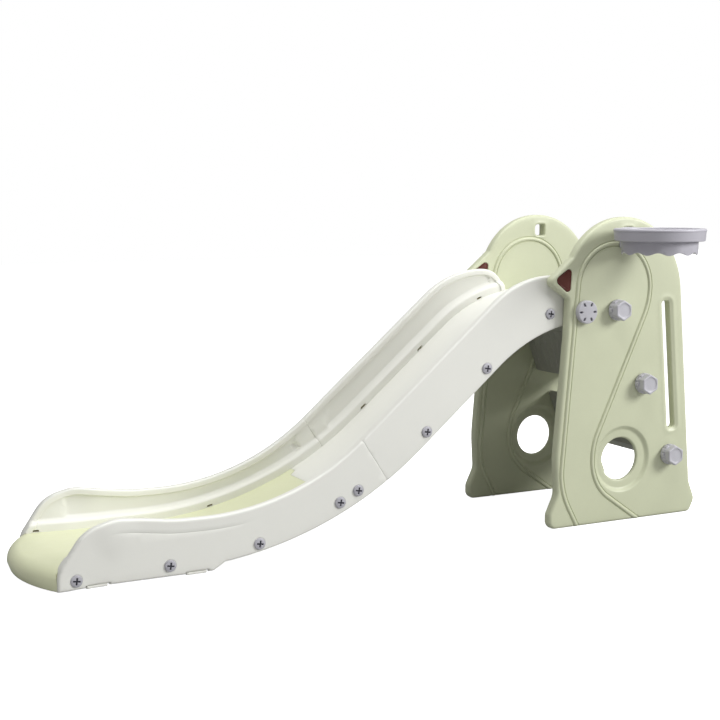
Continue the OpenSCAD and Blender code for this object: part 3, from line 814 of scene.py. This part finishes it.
def lower_bed_shape():
    joint = bed_joint(-0.6)
    toe_curve = (TOE_HALF ** 2 + TOE_REACH ** 2) / 2 / TOE_REACH
    half_turn = math.asin(TOE_HALF / toe_curve)
    toe_loop = np.array([
        [toe_curve * (1 - math.cos(a)) - TOE_REACH, toe_curve * math.sin(a)]
        for a in np.linspace(half_turn, -half_turn, 61)
    ])
    toe_loop[:, 0] -= 0.5
    flared = np.linspace(FLARE_REACH, 0, 12)
    side = np.array([
        [s, BED_HALF + float(flare(np.array([[FRONT_X + s, BED_Z]]))[0])] for s in flared
    ])
    loop = np.vstack([path(joint), side, toe_loop, (side * (1, -1))[::-1]])

    def top(points):
        d = distance(points, toe_loop)
        d = np.where(points[:, 0] > 0, np.maximum(d, points[:, 0] + 2), d)
        return -fillet_drop(d, TOE_R)

    def bottom(points):
        thick = np.interp(points[:, 0], [0, 150, 190], [BED_Z - 2, BED_Z - 2, BED_T])
        d = distance(points, toe_loop)
        d = np.where(points[:, 0] > 0, TOE_R, d)
        return -thick + fillet_drop(d, 3.0)

    def to_space(points, height):
        forward = np.clip(-points[:, 0] / TOE_REACH, 0, 1)
        tuck = TOE_TUCK * forward * smooth_step(-height, TOE_R, BED_Z - 4)
        return on_bed(np.stack([points[:, 0] + tuck, points[:, 1]], axis=1), height)

    return slab([loop], [0], top, bottom, to_space,
                lines=[(toe_loop, False, [0.3, 1, 2.2, 4, 6.2, 8.8, 12, 15.5, 19.5, 23.5, 28])],
                grid=10, step=6)


def upper_bed_shape():
    joint = path(bed_joint(0))
    end = float(bed_s[-1])
    loop = np.vstack([joint, [[end, BED_HALF], [end, -BED_HALF]]])[::-1]
    return slab([loop], [1.5], lambda p: np.zeros(len(p)), lambda p: np.full(len(p), -BED_T + 0.5),
                on_bed, grid=12, step=6)


# ---- steps ----

STEP_RUN_PER_RISE = 80 / 172.5 * 0.83
UPSTAND_H = 112
TREAD_TOP = 28
PLATE_T = 14
RIB_PITCH = 26
RIB_DEPTH = 2.2
DECK_Z = CREST[1] + 15
STEP_BOLTS = [(323 - 80 * i, 146 + 172.5 * i) for i in range(3)]
KNOB = (74, CREST[1] - 14)


def plate_x(h):
    """Front face of an upstand at height h above its bolt."""
    return -105 + STEP_RUN_PER_RISE * (UPSTAND_H - h)


def ribbed(section, ribs_on, half_width, stations=150, edge_r=5):
    """A section drawn in X and Z, run from side to side, with upright ribs where ribs_on says."""
    loop = spread(section, 4, closed=True)
    area = (loop[:, 0] * np.roll(loop[:, 1], -1) - np.roll(loop[:, 0], -1) * loop[:, 1]).sum()
    outward = -line_normals(loop, True) * math.copysign(1, area)
    strength = ribs_on(loop)
    rounding = edge_r * (1 - np.cos(np.linspace(0, math.pi / 2, 6)))[:-1]
    flat = np.linspace(-half_width + edge_r, half_width - edge_r, stations)
    sections = []
    for y in np.concatenate([-half_width + rounding, flat, half_width - rounding[::-1]]):
        edge = np.array([half_width - abs(y)])
        inset = fillet_drop(edge, edge_r)[0]
        phase = (y / RIB_PITCH + 0.5) % 1 - 0.5
        groove = RIB_DEPTH * bump(phase * RIB_PITCH, 4.5) * smooth_step(edge[0], 12, 20)
        ring = loop - outward * (inset + groove * strength)[:, None]
        sections.append(np.stack([ring[:, 0], np.full(len(ring), y), ring[:, 1]], axis=1))
    return rings(sections if area < 0 else sections[::-1])


def step_shape(skirt):
    """A tread with its upstand; skirt is how far the upstand reaches below the tread's front."""
    low = 17 - skirt
    section = outline([
        [plate_x(low), low, 4], [plate_x(UPSTAND_H), UPSTAND_H, 6],
        [plate_x(UPSTAND_H) + PLATE_T, UPSTAND_H, 6], [plate_x(TREAD_TOP) + PLATE_T, TREAD_TOP, 10],
        [40, TREAD_TOP, 12], [40, -18, 12], [12, -18, 16],
        [plate_x(low) + PLATE_T + 2, low + (10 if skirt else 2), 3],
    ])

    def ribs_on(points):
        x, z = points[:, 0], points[:, 1]
        front = bump(x - np.array([plate_x(h) for h in z]), 3) * smooth_step(z, low + 16, low + 22)
        front *= 1 - smooth_step(z, UPSTAND_H - 14, UPSTAND_H - 8)
        tread = bump(z - TREAD_TOP, 2) * smooth_step(x, plate_x(TREAD_TOP) + 26, plate_x(TREAD_TOP) + 34)
        return front + 0.8 * tread * (1 - smooth_step(x, 20, 28))

    return ribbed(section, ribs_on, INNER_Y - 0.4)


LEDGE_TOP = 495  # under the upper bed's end


def platform_shape():
    """The top step: a platform whose front ledge carries the chute's end."""
    top, bolt = DECK_Z, STEP_BOLTS[2]
    front, rear = RAIL_END + 3, bolt[0] + 44
    board = outline([
        [front, top, 6], [rear, top, 12], [rear, bolt[1] - 18, 12], [front, bolt[1] - 20, 4],
    ])
    ledge = outline([
        [front - 24, bolt[1] - 32, 5], [front - 24, LEDGE_TOP, 4], [front + 14, LEDGE_TOP, 4],
        [front + 34, bolt[1] - 15, 4], [front + 14, bolt[1] - 60, 5], [front + 1, bolt[1] - 60, 5],
    ])

    def board_ribs(points):
        across_top = bump(points[:, 1] - top, 2) * smooth_step(points[:, 0], front + 14, front + 22)
        return across_top * (1 - smooth_step(points[:, 0], rear - 26, rear - 18))

    def ledge_ribs(points):
        return smooth_step(points[:, 1], bolt[1] - 44, bolt[1] - 36) * 0.9

    return joined(ribbed(board, board_ribs, INNER_Y - 0.4),
                  ribbed(ledge, ledge_ribs, BED_HALF - 4, stations=120))


# ---- bolts, knobs and screws ----

COLLAR_R, COLLAR_T = 24, 11
HEX_AF, HEAD_OUT = 42, 28
SHANK_R = 8
FLUTES = 12


def bolt_shape():
    """Hexagonal head with a hollow face on a fluted collar, and its plain shank."""
    def radius(r, height, angles):
        if height < 0 or r < 17:
            return np.full(len(angles), float(r))
        if height <= COLLAR_T:
            phase = (angles * FLUTES / (2 * math.pi)) % 1 - 0.5
            return r - 2.4 * bump(phase, 0.2) * smooth_step(height, 0.5, 2)
        # a hexagon with rounded corners
        turn = (angles + math.pi / 6) % (math.pi / 3) - math.pi / 6
        flat = HEX_AF / 2 / np.cos(turn)
        return np.minimum(flat, HEX_AF / 2 * 1.12) * r / (HEX_AF / 2)

    flat = HEX_AF / 2
    stations = [
        (SHANK_R, -PANEL_T - 38), (SHANK_R, -0.2), (COLLAR_R - 1, 0), (COLLAR_R, 1), (COLLAR_R, 3),
        (COLLAR_R, COLLAR_T - 1.5), (COLLAR_R - 0.3, COLLAR_T - 0.3), (COLLAR_R - 0.8, COLLAR_T),
        (flat - 0.6, COLLAR_T + 0.3), (flat - 0.6, 17), (flat - 0.4, HEAD_OUT - 2.4),
        (flat - 0.9, HEAD_OUT - 0.9), (flat - 2.2, HEAD_OUT), (flat - 4, HEAD_OUT),
        (16.4, HEAD_OUT - 0.6), (15.6, HEAD_OUT - 1.5), (14, HEAD_OUT - 1.8), (9, HEAD_OUT - 1.8),
        (4, HEAD_OUT - 1.7), (0.6, HEAD_OUT - 1.7),
    ]
    return turned(stations, 120, radius)


KNOB_R, KNOB_T = 26, 15
MARK_AT, MARK_LONG, MARK_WIDE = 18.4, 5.2, 2.9


def knob_mark(x, z):
    """Below 1 inside one of the six oval marks round a knob's face."""
    angle = np.arctan2(z, x)
    turn = angle - np.round(angle / (math.pi / 3)) * math.pi / 3
    r = np.hypot(x, z)
    return np.hypot((r * np.cos(turn) - MARK_AT) / MARK_LONG, r * np.sin(turn) / MARK_WIDE)


def knob_shape():
    def relief(rr, height, angles):
        if height < KNOB_T - 3:
            return 0
        return -1.8 * (1 - smooth_step(knob_mark(rr * np.cos(angles), rr * np.sin(angles)), 0.75, 1.05))

    dome = [(r, KNOB_T - 0.6 - 1.4 * (r / KNOB_R) ** 2) for r in np.arange(23.6, 0.4, -0.75)]
    stations = [(SHANK_R, -PANEL_T - RAIL_T - 38), (SHANK_R, -0.2), (24.6, 0), (25.4, 0.6),
                (KNOB_R, 2), (KNOB_R, 6), (KNOB_R, 10.8), (25.7, 12), (25, 12.6), (24.3, 12.9)]
    return turned(stations + dome, 144, None, relief)


SCREW_R, SCREW_RISE = 12, 5.2
SLOT_HALF, CROSS_HALF = 1.7, 7.2
CROSS_TURN = 0.15


def cross_gap(x, z):
    """Distance outside the cross slot of a screw, negative in it."""
    one = np.maximum(np.abs(x) - SLOT_HALF, np.abs(z) - CROSS_HALF)
    other = np.maximum(np.abs(z) - SLOT_HALF, np.abs(x) - CROSS_HALF)
    return np.minimum(one, other)


def screw_shape():
    def relief(rr, height, angles):
        if height < 2:
            return 0
        gap = cross_gap(rr * np.cos(angles + CROSS_TURN), rr * np.sin(angles + CROSS_TURN))
        return -2.6 * (1 - smooth_step(gap, -0.5, 0.35))

    dome = [(r, SCREW_RISE * math.sqrt(1 - (r / 15.5) ** 2)) for r in np.arange(11, 0.3, -0.55)]
    stations = [(4, -46), (4, -1.2), (SCREW_R - 0.2, -1.2), (SCREW_R, 0.8), (SCREW_R - 0.3, 2.0)]
    return turned(stations + [(11.4, 3.1)] + dome, 96, None, relief)


# ---- feet and hoop ----


def foot_shape(x):
    """A white tab in the pocket under a lower rail, seen through the notch in its outer face."""
    wide, deep, high = FOOT_LEN, 14.4, FOOT_DROP + FOOT_NOTCH - 0.4
    flat = outline([[x, 0, 2.5], [x + wide, 0, 2.5], [x + wide, deep, 2.5], [x, deep, 2.5]])

    def to_space(points, height):
        spot = np.stack([points[:, 0], np.full(len(points), 4.0)], axis=1)
        return np.stack([points[:, 0], -INNER_Y + 0.6 - flare(spot) + points[:, 1],
                         high / 2 + height], axis=1)

    def ribs(points):
        return high / 2 - 0.8 * bump((points[:, 0] - x + 3) % 9 - 4.5, 1.4)

    return slab([flat], [1.0], lambda p: np.full(len(p), high / 2), lambda p: -ribs(p), to_space,
                grid=2.5, step=2)


hoop_middle = centre_of("hoop_ring")
HOOP_R, RIM_W, BAND_H = 100, 16, 27
SKIRT_LOW, SCALLOPS = 30, 11


def around(section_at, count):
    """A closed ring of (radius, height) sections about the hoop's axis."""
    sections = []
    for a in np.linspace(0, 2 * math.pi, count, endpoint=False):
        ring = section_at(a)
        sections.append(np.stack([ring[:, 0] * math.cos(a), ring[:, 0] * math.sin(a), ring[:, 1]], 1))
    return moved(rings(sections, wrap=True), hoop_middle)


def hoop_ring_shape():
    half = BAND_H / 2
    section = outline([
        [HOOP_R - RIM_W, -half, 1.5], [HOOP_R - RIM_W, half, 3], [HOOP_R, half, 4],
        [HOOP_R, half - 5, 1], [HOOP_R - 1.2, half - 6.5, 1], [HOOP_R - 2.6, -half, 2.5],
    ])
    return around(lambda a: section, 168)


def hoop_skirt_shape():
    inner, outer, top = HOOP_R - RIM_W - 3.2, HOOP_R - RIM_W - 0.3, BAND_H / 2 - 6

    def section_at(a):
        low = -BAND_H / 2 - SKIRT_LOW + 3.2 + 2.8 * math.cos(SCALLOPS * a)
        levels = np.linspace(low + 1, top, 7)
        flute = 0.7 * math.cos(SCALLOPS * a) * smooth_step(-levels, 16, 34)
        up = np.stack([outer - np.linspace(1.6, 0, 7) + flute, levels], axis=1)
        down = np.stack([inner - np.linspace(0, 1.6, 7) + flute[::-1], levels[::-1]], axis=1)
        return np.vstack([up, down, [[inner - 0.5, low], [outer - 2.4, low]]])[::-1]

    return around(section_at, 240)


def bracket_shape():
    """Plate against the panel, and the arm that joins it to the band."""
    width, thick, gap = 48, 5, 0.3
    top = SOCKET_W / 2
    flat = outline(box_corners(width / 2, width / 2, 7)) + (0, top - width / 2)
    arm = outline(box_corners(19, 10.5, 3))

    def facing(middle):
        def to_space(points, height):
            return np.stack([socket[0] + points[:, 0], middle - height, socket[1] + points[:, 1]], 1)
        return to_space

    def plate_face(points):
        return np.full(len(points), thick / 2)

    plate = slab([flat], [1.5], plate_face, lambda p: -plate_face(p), facing(-OUTER_Y - gap - thick / 2),
                 grid=5, step=3)
    # the arm's end follows the band's curve
    arm_part = slab([arm], [1], lambda p: 4.4 + 1.6 * (p[:, 0] / 19) ** 2,
                    lambda p: np.full(len(p), -4.0), facing(-OUTER_Y - 5.3), grid=5, step=3)
    return joined(plate, arm_part)


def plug_shape():
    half, wall, length, gap = SOCKET_W / 2 - 0.4, 5.6, 26, 0.3
    outer = outline([[-half, -half, 8.6], [half, -half, 3.6], [half, half, 3.6], [-half, half, 8.6]])
    hollow = half - wall
    inner = outline(box_corners(hollow, hollow, 2))

    def to_space(points, height):
        return np.stack([socket[0] + points[:, 0], -OUTER_Y - gap + length / 2 - height,
                         socket[1] + points[:, 1]], axis=1)

    def face(points):
        return np.full(len(points), length / 2)

    return slab([outer, inner], [1.2, 0.8], face, lambda p: -face(p), to_space, grid=4, step=2)


# ---- the pieces ----

panel = panel_shape()
inset = beak_inset_shape()
lower_rail, upper_rail = rail_shape(True), rail_shape(False)
for side, word in SIDES.items():
    add(f"side_panel_{word}_shell", panel, GREEN, f"side_panel_{word}", side)
    add(f"beak_{word}", inset, BROWN, f"beak_inset_{word}", side)
    for part, shape in (("lower", lower_rail), ("upper", upper_rail)):
        wall = add(f"{part}_rail_{word}_shell", shape, [WHITE, SLOT_PAINTED_SHADE], f"{part}_rail_{word}",
                   side)
        # painted shade on the faces inside the locking-tab slots
        paint_shade(wall, in_tab_slot)
add("lower_bed_shell", lower_bed_shape(), BED_GREEN, "lower_bed")
add("upper_bed_shell", upper_bed_shape(), WHITE, "upper_bed")


step = STEP_BOLTS
add("platform", platform_shape(), DARK_GREY, "step_top")
add("middle_step", step_shape(25), DARK_GREY, "step_middle", at=(step[1][0], 0, step[1][1]))
add("bottom_step", step_shape(0), DARK_GREY, "step_bottom", at=(step[0][0], 0, step[0][1]))

bolt, knob, screw = bolt_shape(), knob_shape(), screw_shape()
for side, word in SIDES.items():
    for i, name in enumerate(("bottom", "middle", "top")):
        add(f"{name}_bolt_{word}", bolt, CAP_GREY, f"step_bolts_{word}", side,
            (STEP_BOLTS[i][0], -OUTER_Y, STEP_BOLTS[i][1]))
    place = (KNOB[0], -OUTER_Y, KNOB[1])
    cap = add(f"knob_{word}", knob, [CAP_GREY, CAP_MARK_PAINTED_SHADE], f"slide_knob_{word}", side, place)
    # painted shade inside the knob's recessed oval marks
    paint_shade(cap, lambda p: (knob_mark(p[:, 0] - KNOB[0], p[:, 2] - KNOB[1]) < 0.8)
           & (np.abs(p[:, 1]) > OUTER_Y + KNOB_T - 5))
    for i in range(len(SCREW_XS)):
        x, z = screw_place(i)
        face = INNER_Y + float(flare(np.array([[x, z]]))[0]) - 1
        head = add(f"rail_screw_{i + 1}_{word}", screw, [SCREW_GREY, SCREW_SLOT_PAINTED_SHADE],
                   f"rail_screws_{word}", side, (x, -face, z))
        turn = tilted(math.degrees(CROSS_TURN))
        # painted shade inside the screw's cross slot
        paint_shade(head, lambda p: (cross_gap(*((p[:, [0, 2]] - (x, z)) @ turn).T) < -0.1)
               & (np.abs(p[:, 1]) > face + 0.5))
    feet = joined(*[foot_shape(FRONT_X + x) for x in FOOT_XS])
    add(f"feet_{word}", feet, WHITE, f"rail_feet_{word}", side)

add("hoop_band", hoop_ring_shape(), HOOP_GREY, "hoop_ring", body="hoop")
add("hoop_scallops", hoop_skirt_shape(), HOOP_GREY, "hoop_skirt", body="hoop")
add("hoop_mount", bracket_shape(), HOOP_GREY, "hoop_bracket", body="hoop")
add("hoop_peg", plug_shape(), HOOP_GREY, "hoop_plug", body="hoop")

# ---- camera, lights and floor ----

CAMERA_AT = Vector((np.array([-1698, -2588, 747]) + ORIGIN) * MM)
CAMERA_AZ, CAMERA_EL = -26.75, 7.08
CAMERA_LENS = 66.1


def add_camera():
    data = bpy.data.cameras.new("camera")
    data.lens = CAMERA_LENS
    camera = bpy.data.objects.new("camera", data)
    a, e = math.radians(CAMERA_AZ), math.radians(CAMERA_EL)
    back = Vector((math.sin(a) * math.cos(e), -math.cos(a) * math.cos(e), math.sin(e)))
    camera.location = CAMERA_AT
    camera.rotation_mode = "QUATERNION"
    camera.rotation_quaternion = (-back).to_track_quat("-Z", "Y")
    bpy.context.scene.collection.objects.link(camera)
    bpy.context.scene.camera = camera


def add_light(name, place, aim, size, power, spread=180):
    data = bpy.data.lights.new(name, "AREA")
    data.shape = "RECTANGLE"
    data.size, data.size_y = size
    data.energy = power
    data.spread = math.radians(spread)
    light = bpy.data.objects.new(name, data)
    light.location = place
    light.rotation_mode = "QUATERNION"
    light.rotation_quaternion = (Vector(aim) - Vector(place)).to_track_quat("-Z", "Y")
    bpy.context.scene.collection.objects.link(light)


def seen_and_bounced(tree, seen, bounced, output, socket):
    """Joins two shaders: one that the camera sees, one that light bounces off."""
    ray = tree.nodes.new("ShaderNodeLightPath")
    mix = tree.nodes.new("ShaderNodeMixShader")
    tree.links.new(ray.outputs["Is Camera Ray"], mix.inputs["Fac"])
    tree.links.new(bounced.outputs[0], mix.inputs[1])
    tree.links.new(seen.outputs[0], mix.inputs[2])
    tree.links.new(mix.outputs[0], output.inputs[socket])


def add_floor():
    mesh = bpy.data.meshes.new("floor")
    half = 12
    mesh.from_pydata([(-half, -half, 0), (half, -half, 0), (half, half, 0), (-half, half, 0)], [],
                     [(0, 1, 2, 3)])
    floor = bpy.data.objects.new("floor", mesh)
    floor.location.z = -0.0005
    material = bpy.data.materials.new("floor_white")
    material.use_nodes = True
    tree = material.node_tree
    bounced = tree.nodes.new("ShaderNodeBsdfDiffuse")
    bounced.inputs["Color"].default_value = (0.4, 0.4, 0.4, 1)
    seen = tree.nodes["Principled BSDF"]
    seen.inputs["Base Color"].default_value = (0.96, 0.96, 0.96, 1)
    seen.inputs["Roughness"].default_value = 0.9
    seen.inputs["Emission Color"].default_value = (1, 1, 1, 1)
    seen.inputs["Emission Strength"].default_value = FLOOR_GLOW
    seen_and_bounced(tree, seen, bounced, tree.nodes["Material Output"], "Surface")
    mesh.materials.append(material)
    bpy.context.scene.collection.objects.link(floor)


def add_world(strength):
    world = bpy.data.worlds.new("studio")
    bpy.context.scene.world = world
    world.use_nodes = True
    tree = world.node_tree
    seen = tree.nodes["Background"]
    seen.inputs["Color"].default_value = (1, 1, 1, 1)
    seen.inputs["Strength"].default_value = 1
    bounced = tree.nodes.new("ShaderNodeBackground")
    bounced.inputs["Color"].default_value = (1, 1, 1, 1)
    bounced.inputs["Strength"].default_value = strength
    seen_and_bounced(tree, seen, bounced, tree.nodes["World Output"], "Surface")


FLOOR_GLOW = 0.9  # the floor looks nearly white, as in a light tent

add_camera()
add_floor()
add_world(0.34)
add_light("top_soft", (0.1, -0.2, 2.7), (-0.1, 0, 0.2), (2.4, 1.8), 52)
add_light("key_right", (2.6, -2.2, 1.8), (0, 0, 0.35), (1.3, 1.3), 86)
add_light("foot_soft", (-1.6, -2.2, 1.3), (-0.8, -0.2, 0.1), (0.8, 0.8), 0.6, spread=45)
bpy.context.scene.view_settings.view_transform = "Standard"
